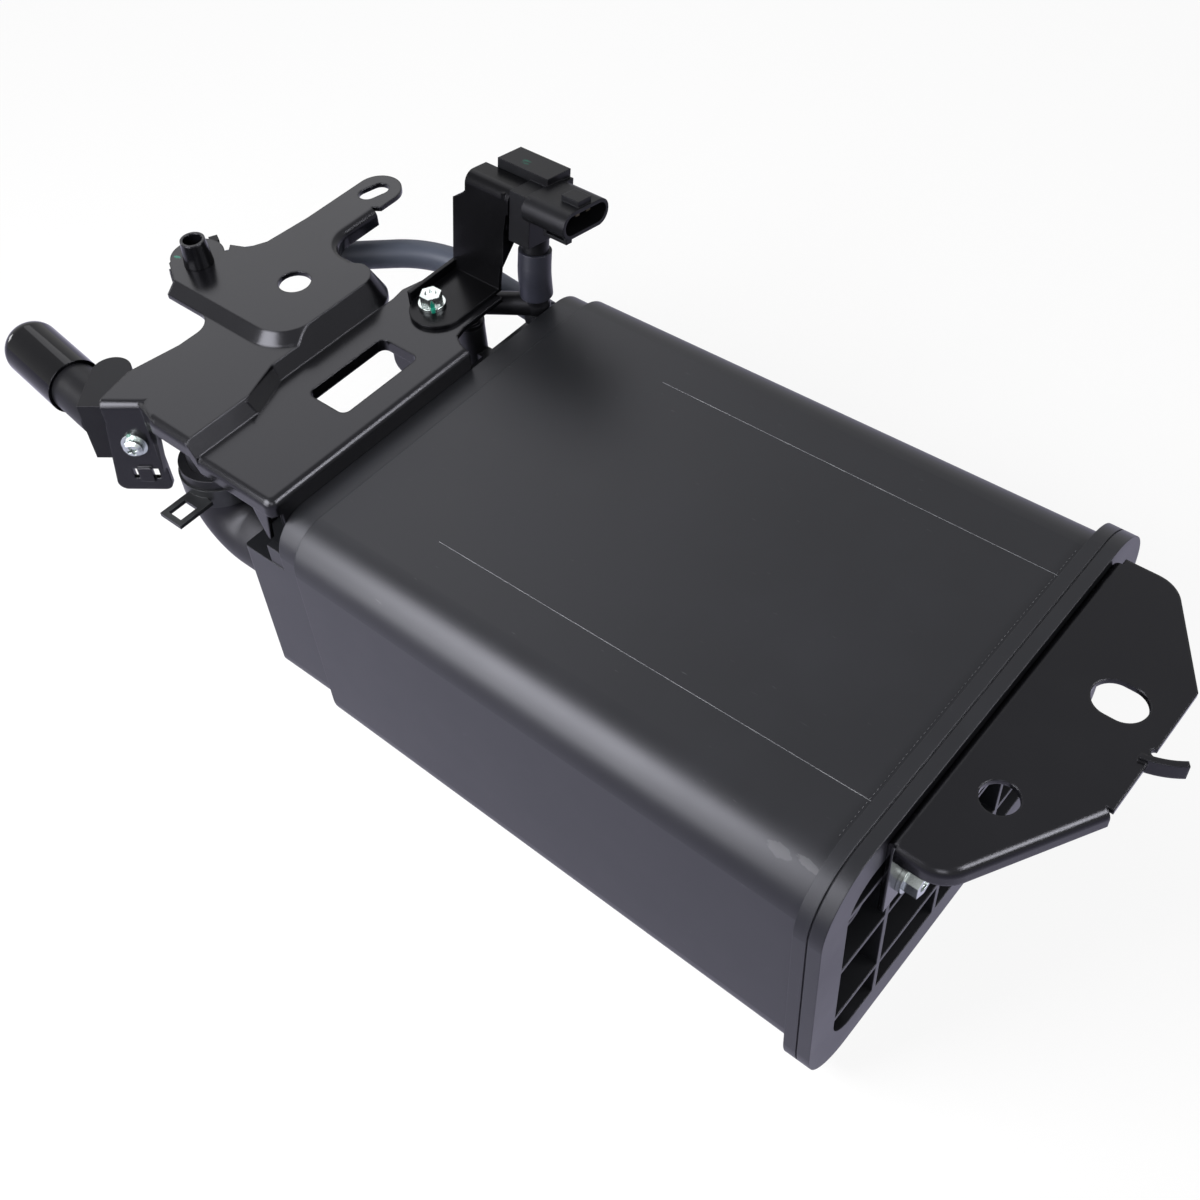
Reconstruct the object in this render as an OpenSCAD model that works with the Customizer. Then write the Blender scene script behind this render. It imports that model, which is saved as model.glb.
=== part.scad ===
// Charcoal canister with mounting brackets, pressure sensor and hoses.
// X runs along the canister, zero at the seam; Z is up, zero under the seam flange.

/* [Canister body] */
// Outside width of the shell at the seam
body_w = 176; // [150:1:200]
// Outside height of the shell at the seam
body_h = 108.4; // [96:0.2:124]
// Length of the main shell from seam to shoulder
body_l = 217; // [190:1:250]
// Radius of the long edges at the seam
edge_r = 19; // [14:0.5:24]
// Inward slope of each side per millimetre of length
draft = 0.014; // [0.006:0.001:0.02]
// Wall thickness of the shell
wall = 3; // [2.4:0.1:4]
// Height the seam flange stands proud of the shell
flange_proud = 4.2; // [3:0.1:6]
// Thickness of the shell half of the seam flange
body_flange_t = 5.2; // [4:0.1:8]
// Depth and width of the weld groove round the seam
seam_groove = 0.6; // [0.3:0.1:1]

/* [Far end] */
// Inset of the end section from the shell sides and bottom
end_inset = 3; // [2:0.1:5]
// Inset of the end section from the shell top
end_top_inset = 1.2; // [0.6:0.1:3]
// Length of the end section below the ledge
end_l = 32; // [24:0.5:40]
// Length of the end section above the ledge
end_upper_l = 11; // [9:0.5:16]
// Height of the ledge above the base
ledge_z = 86.5; // [80:0.5:88]
// Radius of the upright corners of the end section
end_corner_r = 1.5; // [1:0.5:8]
// Length the left cheek runs on past the end face
cheek_l = 6.7; // [5:0.1:8]
// Height of the left cheek above the ledge
cheek_h = 8.5; // [6:0.1:9]

/* [End cap] */
// Thickness of the cap half of the seam flange
cap_t = 4.6; // [4:0.1:7]
// Depth the cap reaches into the shell
cap_depth = 12; // [9:0.5:16]
// Thickness of the cap skin
cap_skin = 2.5; // [2:0.1:4]
// Width of the flat rim round the cap recess
rim_w = 13.2; // [11:0.1:16]
// Radius of the recess corners
recess_r = 13; // [8:0.5:18]
// Thickness of the cap ribs
rib_t = 2; // [1.4:0.1:3]
// Spacing of the upright ribs
rib_pitch_y = 36.4; // [30:0.2:40]
// Spacing of the level ribs
rib_pitch_z = 31.6; // [26:0.2:36]

/* [Carbon beds] */
// Position of the partition across the width
partition_y = 28; // [20:1:40]
// Thickness of the partition
partition_t = 3; // [2:0.1:4]
// Play between inner pieces and the walls round them
inner_play = 0.3; // [0.1:0.05:0.6]
// Thickness of the support grids
grid_t = 3; // [2:0.1:5]
// Thickness of the filter pads
felt_t = 4; // [3:0.1:6]
// Thickness of the pressure plates
plate_t = 4; // [3:0.1:6]
// Length of the compressed springs
spring_l = 24; // [18:0.5:30]
// Mean diameter of the springs
spring_d = 22; // [16:0.5:28]
// Wire diameter of the springs
spring_wire = 2.4; // [1.6:0.1:3.2]

/* [Sheet metal] */
// Thickness of both stamped brackets
sheet = 2; // [1.6:0.1:2.4]
// Outside radius of the folded edges
fold_r = 3; // [2.6:0.1:4]

/* [Rear bracket] */
// Height of the plate top above the base
rear_z = 114.5; // [112:0.1:116]
// Reach of the plate beyond the seam
rear_reach = 48.4; // [44:0.1:54]
// Sideways position of the left edge
rear_left_y = -63.4; // [-68:0.1:-58]
// Sideways position of the right edge
rear_right_y = 70; // [64:0.1:76]
// Sideways position where the skewed edge starts
rear_skew_y = -17.5; // [-24:0.1:-10]
// Angle of the skewed edge
rear_skew = 28.9; // [22:0.1:36]
// Radius of the left corner
rear_corner_r = 12; // [8:0.5:16]
// Depth of the folded lip
rear_lip = 6.5; // [5:0.1:9]
// Height of the leg against the cap
rear_leg = 38; // [34:0.5:44]
// Diameter of the round hole
rear_hole_d = 11.8; // [8:0.1:13]
// Distance of the round hole from the seam
rear_hole_x = 21.5; // [18:0.1:25]
// Sideways position of the round hole
rear_hole_y = -31.4; // [-36:0.1:-26]
// Width of the oblong hole
rear_slot_w = 14; // [10:0.1:15]
// Extra length of the oblong hole
rear_slot_e = 3.4; // [1:0.1:5]
// Distance of the oblong hole from the seam
rear_slot_x = 32; // [28:0.1:35]
// Sideways position of the oblong hole
rear_slot_y = 18.9; // [14:0.1:24]
// Sideways position of the two bolts
rear_bolt_y = 50.5; // [46:0.1:54]
// Height of the two bolts
rear_bolt_z = 84; // [81:0.1:88]
// Thread diameter of the two bolts
rear_bolt_d = 6; // [5:0.5:6]

/* [Front bracket] */
// Height of the front strip top above the base
strip_z = 117; // [116:0.1:119]
// Rise of the middle level above the front strip
mid_rise = 6; // [5:0.1:7]
// Rise of the hole zone above the front strip
zone_rise = 10; // [9:0.1:12]
// Sideways position of the left edge
front_left_y = -80; // [-82:0.1:-78]
// Depth of the folded lips
front_lip = 7; // [5:0.1:9]
// Depth of the flange on the canister end
front_flange = 28; // [26:0.5:31]
// Distance of the left step from the canister end face
step_left = 38; // [36:0.1:40]
// Distance of the right step from the canister end face
step_right = 44.5; // [43:0.1:47]
// Run of the left step
step_run = 4; // [3:0.1:6]
// Length of the window across the plate
window_l = 38; // [30:0.5:42]
// Width of the window
window_w = 19; // [14:0.5:21]
// Diameter of the locating hole
zone_hole_d = 12.5; // [8:0.1:14]
// Width of the slot in the arm
arm_slot_w = 7.5; // [6:0.1:9]
// Extra length of the slot in the arm
arm_slot_e = 5.5; // [3:0.1:8]
// Width of the arm
arm_w = 19; // [17:0.1:22]
// Base diameter of the tapered collar
collar_d = 11.6; // [10:0.1:14]
// Height of the tapered collar
collar_h = 10.5; // [8:0.1:16]
// Bore of the tapered collar
collar_bore = 7.4; // [6:0.1:8]
// Thread diameter of the screws in the canister end
end_screw_d = 5; // [4:0.5:6]
// Sideways position of the left screw in the canister end
end_screw_l = -40; // [-50:0.5:-36]
// Sideways position of the right screw in the canister end
end_screw_r = 8; // [0:0.5:10]

/* [Pressure sensor] */
// Backward lean of the upright
lean = 10; // [6:0.5:14]
// Thickness of the sensor bracket
sensor_sheet = 1.6; // [1.2:0.1:2]
// Height of the upright
upright_h = 40; // [38:0.5:46]
// Distance of the upright's left edge from the canister end face
upright_left = 36; // [34:0.5:38]
// Distance of the upright's right edge from the canister end face
upright_right = 14; // [12:0.5:16]
// Thread diameter of the bracket screw
sensor_screw_d = 5; // [4:0.5:6]
// Width of the connector
conn_w = 25.2; // [22:0.1:27]
// Height of the connector
conn_h = 10.4; // [9:0.1:12]
// Wall of the connector shroud
conn_wall = 1.4; // [1:0.1:2]
// Depth of the connector socket
conn_depth = 13; // [10:0.5:15]
// Outside diameter of the sensor hose
sensor_hose_d = 12.8; // [11.5:0.1:13.5]
// Bore of the sensor hose
sensor_hose_bore = 8; // [6:0.1:9]

/* [Hoses and vent] */
// Outside diameter of the long vent hose
vent_hose_d = 11.4; // [10.5:0.1:12]
// Bore of the long vent hose
vent_hose_bore = 7.6; // [6:0.1:8.5]
// Rise angle of the long vent hose
vent_rise = 7.2; // [6:0.2:9]
// Thickness of the hose bands
band_t = 0.8; // [0.6:0.1:1.2]
// Outside diameter of the air hose
air_hose_d = 28; // [25:0.5:29]
// Bore of the air hose
air_hose_bore = 21; // [18:0.5:22]
// Bend radius of the air hose
air_bend = 17; // [16:0.5:19]
// Outside diameter of the dust cap
dust_d = 21.9; // [20:0.1:24]
// Length of the dust cap
dust_l = 39; // [36:0.5:44]
// Outside diameter of the vent outlet
outlet_d = 19.4; // [18:0.1:20]
// Distance of the vent outlet from the canister end face
outlet_x = 94; // [90:0.5:98]
// Sideways position of the vent outlet
outlet_y = -80; // [-84:0.5:-76]
// Height of the vent outlet
outlet_z = 110; // [107:0.5:112]
// Width of the vent block
block_w = 15; // [13:0.5:16]
// Length of the vent block behind the flange
block_l = 19.5; // [17:0.5:22]
// Height of the underside of the vent block
block_z = 94.7; // [92:0.1:98]

/* [Hidden] */
$fn = 64;
mid_z = flange_proud + body_h / 2;
far_in = draft * body_l;
x_step = -body_l;
x_face = -(body_l + end_upper_l);
x_end = -(body_l + end_l);
end_hw = body_w / 2 - far_in - end_inset;
end_bot = flange_proud + far_in + end_inset;
end_top = flange_proud + body_h - far_in - end_top_inset;
end_r = edge_r - far_in - 1;
seat_x = x_step + wall;
grid_x = seat_x + grid_t;
felt_x = grid_x + felt_t;
spring_x = -cap_depth - spring_l;
plate_x = spring_x - plate_t;
main_left = wall - body_w / 2;
main_w = partition_y - partition_t / 2 - main_left;
second_mid = (partition_y + partition_t / 2 + body_w / 2 - wall) / 2;
spring_y = [main_left + main_w / 4, main_left + 3 * main_w / 4, second_mid];
bed_x = plate_x - felt_t;
recess_hw = body_w / 2 + flange_proud - rim_w;
recess_hh = body_h / 2 + flange_proud - rim_w;
rear_cy = rear_left_y + rear_corner_r;
rear_cx = rear_reach - (rear_corner_r - (rear_cy - rear_skew_y) * sin(rear_skew)) / cos(rear_skew);
rear_skew_l = norm([rear_reach - rear_cx - rear_corner_r * cos(rear_skew),
                    rear_skew_y - rear_cy + rear_corner_r * sin(rear_skew)]);
rear_fold_r = 2.8;
far_skew = 33.8;
far_r = 12;
tab_r = 28;
tab_turn = 28;
mid_level = strip_z + mid_rise;
zone_level = strip_z + zone_rise;
step_l_x = x_face - step_left;
step_r_x = x_face - step_right;
step_r_run = 0.5 * zone_rise;
front_corner_r = fold_r + 1;
window_x = x_face - 22;
window_y = -14;
corner_drop = 20;
strip_right_y = 19;
zone_left_y = -25.5;
zone_run = 4.5;
zone_r = 14;
zone_cx = step_r_x - step_r_run - zone_r;
zone_cy = zone_left_y + zone_r;
zone_front_x = step_r_x - step_r_run;
zone_right_y = 24;
zone_foot_y = zone_left_y - zone_run;
notch_r = 8.5;
notch_c = [x_face - 84 - notch_r, zone_foot_y - notch_r];
link_a = -50;
link_b = -34;
zone_right_r = 8;
lip_end = x_face - 62;
arm_x = x_face - 88.5;
arm_tip_y = 62;
arm_fillet = 11;
collar_x = x_face - 111.5;
collar_y = -12.5;
side_x = x_face - 76;
side_y = -81;
side_a = 36.1;
side_screw_z = 104;
side_screw_s = 0;
side_s = 8.5;
side_lean = 8.1;
side_corner_r = 3.5;
side_c = [-9.1, 83.8];
web_a = [lip_end + 1, front_left_y + 1.2];
web_b = [side_x + 7 * cos(side_a) - sin(side_a), side_y + 7 * sin(side_a) + cos(side_a)];
web_t = 1.6;
web_drop = 37;
screw_x = x_face - 28;
screw_y = 28.8;
post_y = 50.5;
post_z = strip_z + sensor_sheet;
conn_n = 10.8;
conn_up = 37.4;
conn_x = x_face + 18;
stub_x = x_face - 5.6;
stub_up = 22;
hose_top_up = 16;
hose_arc = 40;
hose_drop_y = post_y + conn_n * cos(lean) + (hose_top_up - 6) * sin(lean) - hose_arc * (1 - cos(lean));
hose_low_z = 113;
bend_lap = 0.4;
bend_full = 0.04;
elbow_z = 108;
elbow_a = 34;
elbow_l = 28;
elbow_d = 9.2;
tower_d = 12;
push_play = 0.04;
tower_z = 98;
vent_y = 69;
vent_z = 95;
vent_arc = 45;
vent_turn = 46;
vent_run = 50;
vent_arc2 = 60;
vent_turn2 = 17;
vent_tail = 12;
air_y = -67;
air_z = 74;
air_x = x_end - 9 - air_bend;
air_top_z = 104;
block_s = -2.7;
barrel_d = 14.4;
barrel_l = 44;
barrel_z = 112;
end_screw_z = 97;
outlet_a = 173;
cap_start = 18.4;

// Flat rectangle with round corners
module round_rect(w, h, r) {
    square([w - 2 * r, h], center = true);
    square([w, h - 2 * r], center = true);
    for (sx = [-1, 1], sy = [-1, 1])
        translate([sx * (w / 2 - r), sy * (h / 2 - r)])
            circle(r);
}

// Bar of that outline lying along X
module bar(x1, x2, w, h, r, z) {
    translate([x1, 0, z])
        rotate([90, 0, 90])
            linear_extrude(height = x2 - x1)
                round_rect(w, h, r);
}

// Block with round long edges and an equal slope on every side
module drafted(x1, x2, hw, hh, r) {
    a = draft * x1;
    b = draft * x2;
    translate([0, 0, mid_z]) {
        rotate([90, 0, 0])
            linear_extrude(height = 2 * (hw - r), center = true)
                polygon([[x2, hh + b], [x1, hh + a], [x1, -hh - a], [x2, -hh - b]]);
        linear_extrude(height = 2 * (hh - r), center = true)
            polygon([[x2, hw + b], [x1, hw + a], [x1, -hw - a], [x2, -hw - b]]);
        for (sy = [-1, 1], sz = [-1, 1])
            translate([x1, sy * (hw - r), sz * (hh - r)])
                rotate([0, 90, 0])
                    cylinder(h = x2 - x1, r1 = r + a, r2 = r + b);
    }
}

// Inside of the shell, less a given play
module chamber(x1, x2, play) {
    drafted(x1, x2, body_w / 2 - wall - play, body_h / 2 - wall - play, edge_r - wall - play);
}

// One chamber's share of a slice of the inside
module chamber_slice(x1, x2, main_side) {
    half = partition_t / 2 + inner_play;
    intersection() {
        chamber(x1, x2, inner_play);
        if (main_side)
            translate([x1 - 1, partition_y - half - body_w, 0])
                cube([x2 - x1 + 2, body_w, 2 * body_h]);
        else
            translate([x1 - 1, partition_y + half, 0])
                cube([x2 - x1 + 2, body_w, 2 * body_h]);
    }
}

// Solid of the end section before it is hollowed
module end_solid() {
    difference() {
        intersection() {
            bar(x_end, x_step + 2, 2 * end_hw, end_top - end_bot, end_r, (end_top + end_bot) / 2);
            translate([x_end + body_l / 2, 0, 0])
                linear_extrude(height = 2 * body_h)
                    round_rect(body_l, 2 * end_hw, end_corner_r);
        }
        translate([x_end - 1, -body_w, ledge_z])
            cube([x_face - x_end + 1, 2 * body_w, body_h]);
    }
}

// Space inside the shell and the end section
module body_space() {
    w = 2 * (end_hw - wall);
    h = end_top - end_bot - 2 * wall;
    z = (end_top + end_bot) / 2;
    chamber(seat_x, 1, 0);
    bar(x_face + wall, seat_x + 0.1, w, h, end_r - wall, z);
    intersection() {
        bar(x_end + wall, x_face + wall + 1, w, h, end_r - wall, z);
        translate([x_end, -body_w, 0])
            cube([body_l, 2 * body_w, ledge_z - wall]);
    }
}

module canister_body() {
    fw = body_w + 2 * flange_proud;
    fh = body_h + 2 * flange_proud;
    fr = edge_r + flange_proud;
    color("#202124")
    difference() {
        union() {
            drafted(x_step, 0, body_w / 2, body_h / 2, edge_r);
            bar(-body_flange_t, -seam_groove, fw, fh, fr, mid_z);
            bar(-body_flange_t, 0, fw - 2 * seam_groove, fh - 2 * seam_groove, fr - seam_groove, mid_z);
            end_solid();
            translate([x_face - cheek_l, -end_hw + 0.3, ledge_z - 1])
                cube([cheek_l + 1, wall, cheek_h + 1]);
            air_port_outside();
            vent_port_outside();
            sensor_tower_outside();
        }
        difference() {
            body_space();
            translate([x_end, partition_y - partition_t / 2, 0])
                cube([-x_end + spring_x + 6, partition_t, 2 * body_h]);
            for (y = [end_screw_l, end_screw_r])
                translate([x_face, y, end_screw_z])
                    rotate([0, 90, 0])
                        cylinder(h = end_upper_l, d = 2 * end_screw_d);
        }
        air_port_bore();
        vent_port_bore();
        sensor_tower_bore();
        for (y = [end_screw_l, end_screw_r])
            translate([x_face - 1, y, end_screw_z])
                rotate([0, 90, 0])
                    cylinder(h = end_upper_l, d = end_screw_d);
    }
}

module air_port_outside() {
    translate([x_end - 8, air_y, air_z])
        rotate([0, 90, 0])
            cylinder(h = 8 + wall, d = air_hose_bore);
}

module air_port_bore() {
    translate([x_end - 9, air_y, air_z])
        rotate([0, 90, 0])
            cylinder(h = 10 + 2 * wall, d = air_hose_bore - 2 * wall);
}

// Moves a shape into the frame of the long vent hose
module vent_frame() {
    translate([x_face, 0, vent_z])
        rotate([0, vent_rise, 0])
            children();
}

module vent_port_outside() {
    vent_frame()
        translate([-18, vent_y, 0])
            rotate([0, 90, 0])
                cylinder(h = 20, d = vent_hose_bore);
}

module vent_port_bore() {
    vent_frame()
        translate([-19, vent_y, 0])
            rotate([0, 90, 0])
                cylinder(h = 26, d = vent_hose_bore - 3);
}

// Axis of the tower that takes the sensor pipe
function tower_at() = [stub_x - elbow_l * cos(elbow_a), hose_drop_y - elbow_l * sin(elbow_a)];

module sensor_tower_outside() {
    translate([tower_at()[0], tower_at()[1], ledge_z - 30])
        cylinder(h = tower_z - ledge_z + 30, d = tower_d);
    translate([tower_at()[0], tower_at()[1] - tower_d / 4, ledge_z - 30])
        cube([x_end - tower_at()[0] + 1, tower_d / 2, 30]);
}

module sensor_tower_bore() {
    translate([tower_at()[0], tower_at()[1], ledge_z - 16])
        cylinder(h = body_h, d = elbow_d + push_play);
    translate([tower_at()[0], tower_at()[1], ledge_z - 12])
        rotate([0, 90, 0])
            cylinder(h = x_end - tower_at()[0] + wall + 1, d = elbow_d - 3);
}

module end_cap() {
    recess_x = cap_skin - cap_depth;
    color("#222326")
    difference() {
        union() {
            difference() {
                union() {
                    bar(0, cap_t, body_w + 2 * flange_proud, body_h + 2 * flange_proud,
                        edge_r + flange_proud, mid_z);
                    chamber(-cap_depth, 0, inner_play);
                }
                bar(recess_x, cap_t + 1, 2 * recess_hw, 2 * recess_hh, recess_r, mid_z);
            }
            intersection() {
                bar(recess_x - 0.5, cap_t, 2 * recess_hw + 1, 2 * recess_hh + 1, recess_r + 0.5, mid_z);
                cap_ribs(recess_x - 0.5);
            }
        }
        for (sy = [-1, 1])
            translate([recess_x, sy * rear_bolt_y, rear_bolt_z])
                rotate([0, 90, 0])
                    cylinder(h = cap_depth + cap_t, d = rear_bolt_d);
        for (sy = [-1, 1])
            translate([recess_x + 4, sy * 1.97 * rib_pitch_y, mid_z + 0.87 * rib_pitch_z])
                rotate([0, 90, 0])
                    cylinder(h = cap_depth + cap_t, d = 11);
    }
}

// Ribs and bosses that stand in the cap recess
module cap_ribs(x) {
    l = cap_t - x;
    for (i = [-1.5, -0.5, 0.5, 1.5])
        translate([x, i * rib_pitch_y - rib_t / 2, 0])
            cube([l, rib_t, 2 * body_h]);
    for (i = [-0.87, 0.13, 1.13])
        translate([x, -body_w, mid_z + i * rib_pitch_z - rib_t / 2])
            cube([l, 2 * body_w, rib_t]);
    for (sy = [-1, 1])
        translate([x, sy * rear_bolt_y, rear_bolt_z])
            rotate([0, 90, 0])
                cylinder(h = l, d = 2.4 * rear_bolt_d);
    for (sy = [-1, 1])
        translate([x, sy * 1.97 * rib_pitch_y, mid_z + 0.87 * rib_pitch_z])
            rotate([0, 90, 0])
                cylinder(h = l - 3, d = 15);
}

module main_charcoal_bed() {
    color("#151515")
    chamber_slice(felt_x, bed_x, true);
}

module second_charcoal_bed() {
    color("#151515")
    chamber_slice(felt_x, bed_x, false);
}

module far_filters() {
    color("#d8d4c8")
    for (side = [true, false])
        chamber_slice(grid_x, felt_x, side);
}

module near_filters() {
    color("#d8d4c8")
    for (side = [true, false])
        chamber_slice(bed_x, plate_x, side);
}

// Rows of slots that let vapour through a plate
module vapour_slots(x1, x2) {
    for (y = [-72:12:72], z = [24:24:96])
        if (abs(y - partition_y) > 8)
            translate([x1 - 1, y - 2.5, z - 9])
                cube([x2 - x1 + 2, 5, 18]);
}

module support_grids() {
    color("#2a2a2c")
    for (side = [true, false])
        difference() {
            chamber_slice(seat_x, grid_x, side);
            vapour_slots(seat_x, grid_x);
        }
}

module pressure_plates() {
    color("#2a2a2c")
    for (side = [true, false])
        difference() {
            chamber_slice(plate_x, spring_x, side);
            vapour_slots(plate_x, spring_x);
        }
}

module bed_springs() {
    color("#b8b8b8")
    for (y = spring_y)
        translate([spring_x, y, mid_z - 1.6])
            rotate([0, 90, 0])
                linear_extrude(height = spring_l, twist = 1080, slices = 48, $fn = 16)
                    translate([spring_d / 2, 0])
                        circle(d = spring_wire, $fn = 6);
}

// Outline of a folded edge: outer face at zero, top face at zero
module fold_outline(r, depth) {
    translate([-r, -r])
        difference() {
            intersection() {
                circle(r);
                square(r);
            }
            circle(r - sheet);
        }
    translate([-sheet, -depth])
        square([sheet, depth - r]);
}

// Folded edge that starts at a point and runs to the right of its outward angle
module folded_edge(at, angle, len, r, depth) {
    translate(at)
        rotate([90, 0, angle])
            linear_extrude(height = len)
                fold_outline(r, depth);
}

module rear_bracket() {
    z0 = rear_z - sheet;
    s = [cos(rear_skew), -sin(rear_skew)];
    bx = cap_t + rear_fold_r;
    c = [rear_cx, rear_cy];
    lip_l = rear_cx - bx;
    n = [cos(far_skew), sin(far_skew)];
    far_y = 0.5 * rear_right_y;
    far_c = [rear_reach - (far_r + (rear_right_y - far_r - far_y) * n[1]) / n[0], rear_right_y - far_r];
    tab = [rear_reach - 3, 4];
    color("#26272a")
    difference() {
        union() {
            translate([0, 0, z0])
                linear_extrude(height = sheet) {
                    polygon([[bx, rear_left_y + fold_r], [rear_cx, rear_left_y + fold_r], c,
                             c + (rear_corner_r - fold_r) * s, [rear_reach, rear_skew_y] - fold_r * s,
                             [rear_reach, rear_skew_y + 1.4], [rear_reach, far_y], far_c + far_r * n,
                             [far_c[0], rear_right_y], [bx, rear_right_y]]);
                    translate(c)
                        circle(rear_corner_r - fold_r);
                    translate(far_c)
                        circle(far_r);
                }
            folded_edge([rear_reach, rear_skew_y, rear_z], -rear_skew, rear_skew_l, fold_r, rear_lip);
            folded_edge([rear_cx, rear_left_y, rear_z], -90, lip_l, fold_r, rear_lip);
            translate([rear_cx, rear_cy, rear_z])
                rotate([0, 0, -90])
                    rotate_extrude(angle = 90 - rear_skew)
                        translate([rear_corner_r, 0])
                            fold_outline(fold_r, rear_lip);
            folded_edge([cap_t, rear_left_y + 1.5, rear_z], 180, rear_right_y - rear_left_y - 4,
                        rear_fold_r, rear_leg);
            translate([tab[0] - tab_r * sin(10), tab[1] + tab_r * cos(10), rear_z - 4.6])
                rotate([0, 0, -80])
                    rotate_extrude(angle = tab_turn)
                        translate([tab_r - sheet / 2, 0])
                            square([sheet, 6]);
        }
        translate([rear_hole_x, rear_hole_y, z0 - 1])
            cylinder(h = sheet + 2, d = rear_hole_d);
        translate([rear_slot_x, rear_slot_y, z0 - 1])
            linear_extrude(height = sheet + 2)
                slot_outline(rear_slot_w, rear_slot_e);
        translate([rear_reach + 0.2, 8.4, z0 - 1])
            cylinder(h = sheet + 2, d = 3);
        for (sy = [-1, 1])
            translate([cap_t - 1, sy * rear_bolt_y, rear_bolt_z])
                rotate([0, 90, 0])
                    cylinder(h = sheet + 2, d = rear_bolt_d);
    }
}

// Slot outline with its long way along the first axis
module slot_outline(w, extra) {
    square([extra, w], center = true);
    for (sx = [-1, 1])
        translate([sx * extra / 2, 0])
            circle(d = w);
}

// Hex head with a round flange, seat at zero, shank downward
module hex_screw(d, head_h, shank) {
    difference() {
        union() {
            cylinder(h = 0.3 * d, d = 2.1 * d);
            cylinder(h = head_h, d = 1.72 * d, $fn = 6);
            translate([0, 0, -shank])
                cylinder(h = shank, d = d);
        }
        translate([0, 0, head_h - 0.8])
            cylinder(h = 1, d = 0.9 * d);
    }
}

module rear_bracket_bolts() {
    color("#d0d2d4")
    for (sy = [-1, 1])
        translate([cap_t + sheet, sy * rear_bolt_y, rear_bolt_z])
            rotate([0, 90, 0])
                hex_screw(rear_bolt_d, 6.5, sheet + 10);
}

// Sloped sheet between two levels, run along Y
module slope_x(xa, za, xb, zb, y1, y2) {
    translate([0, y2, 0])
        rotate([90, 0, 0])
            linear_extrude(height = y2 - y1)
                polygon([[xa, za], [xb, zb], [xb, zb - sheet], [xa, za - sheet]]);
}

module front_bracket() {
    color("#26272a")
    difference() {
        union() {
            front_strip();
            front_steps();
            middle_level();
            hole_zone();
            side_flange();
        }
        front_holes();
    }
}

// Lowest level with the flange on the canister end and the left lip
module front_strip() {
    r = front_corner_r;
    translate([0, 0, strip_z - sheet])
        linear_extrude(height = sheet) {
                    polygon([[x_face - fold_r, strip_right_y], [x_face - fold_r, front_left_y + r],
                             [x_face - r, front_left_y + r], [x_face - r, front_left_y + fold_r],
                             [step_l_x, front_left_y + fold_r], [step_l_x, link_a], [step_r_x, link_b],
                             [step_r_x, zone_right_y], [step_r_x - 1, 30], [step_r_x + 4, post_y - 1.5],
                             [x_face - 11, post_y - 1.5], [x_face - 11, 28], [x_face - 9.5, 22.5],
                             [x_face - 5.5, 20]]);
                    translate([x_face - r, front_left_y + r])
                        circle(r - fold_r);
        }
    translate([window_x, window_y, strip_z - 5])
        linear_extrude(height = 5 - sheet)
            difference() {
                round_rect(window_w + 2 * sheet, window_l + 2 * sheet, 3 + sheet);
                round_rect(window_w, window_l, 3);
            }
    folded_edge([x_face, strip_right_y, strip_z], 0, strip_right_y - front_left_y - r, fold_r, front_flange);
    folded_edge([x_face - r, front_left_y, strip_z], -90, x_face - r - step_l_x, fold_r, front_lip);
    translate([x_face - r, front_left_y + r, strip_z])
        rotate([0, 0, -90])
            rotate_extrude(angle = 90)
                translate([r, 0])
                    fold_outline(fold_r, front_lip);
    translate([x_face, front_left_y + sheet - 0.2, strip_z])
        rotate([90, 0, 0])
            linear_extrude(height = sheet - 0.4)
                polygon([[-r, -fold_r - 0.5], [-12, -fold_r - 0.5], [-11, -front_lip - 1.5],
                         [-7.3, -corner_drop], [-6, -corner_drop], [-r, -front_lip - 1]]);
    translate([window_x, window_y + window_l / 2 + 1.7, strip_z - 4])
        rotate([90, 0, 0])
            linear_extrude(height = 1.4) {
                translate([-5, -4])
                    square([10, 6.5]);
                translate([0, -4])
                    circle(5);
            }
}

// Steps up from the front strip and the oblique link between them
module front_steps() {
    link = [step_r_x - step_l_x, link_b - link_a];
    turn = atan2(-link[0], link[1]);
    cr = zone_right_r;
    slope_x(step_l_x, strip_z, step_l_x - step_run, mid_level, front_left_y, link_a);
    translate([0, front_left_y + sheet, 0])
        rotate([90, 0, 0])
            linear_extrude(height = sheet)
                polygon([[step_l_x, strip_z], [step_l_x - step_run, mid_level],
                         [step_l_x - step_run, mid_level - front_lip], [step_l_x, strip_z - front_lip]]);
    translate([step_l_x, link_a, 0])
        rotate([0, 0, turn])
            slope_x(0, strip_z, -step_run * cos(turn), mid_level, -1, norm(link) + 1);
    difference() {
        slope_x(step_r_x, strip_z, zone_front_x, zone_level, link_b, zone_right_y - cr);
        difference() {
            translate([zone_front_x - 1, link_b - 2, mid_level])
                cube([zone_rise, zone_cy - link_b + 2, zone_rise]);
            zone_cone(0);
        }
    }
    translate([zone_front_x - cr, zone_right_y - cr, strip_z])
        rotate_extrude(angle = 90)
            polygon([[cr, zone_rise], [cr + step_r_run, 0], [cr + step_r_run, -sheet],
                     [cr, zone_rise - sheet]]);
}

// Solid under the rounded corner of the hole zone, or the space inside it
module zone_cone(inset) {
    translate([zone_cx, zone_cy, mid_level - inset])
        cylinder(h = zone_level - mid_level, r1 = zone_r + zone_run, r2 = zone_r);
}

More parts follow.
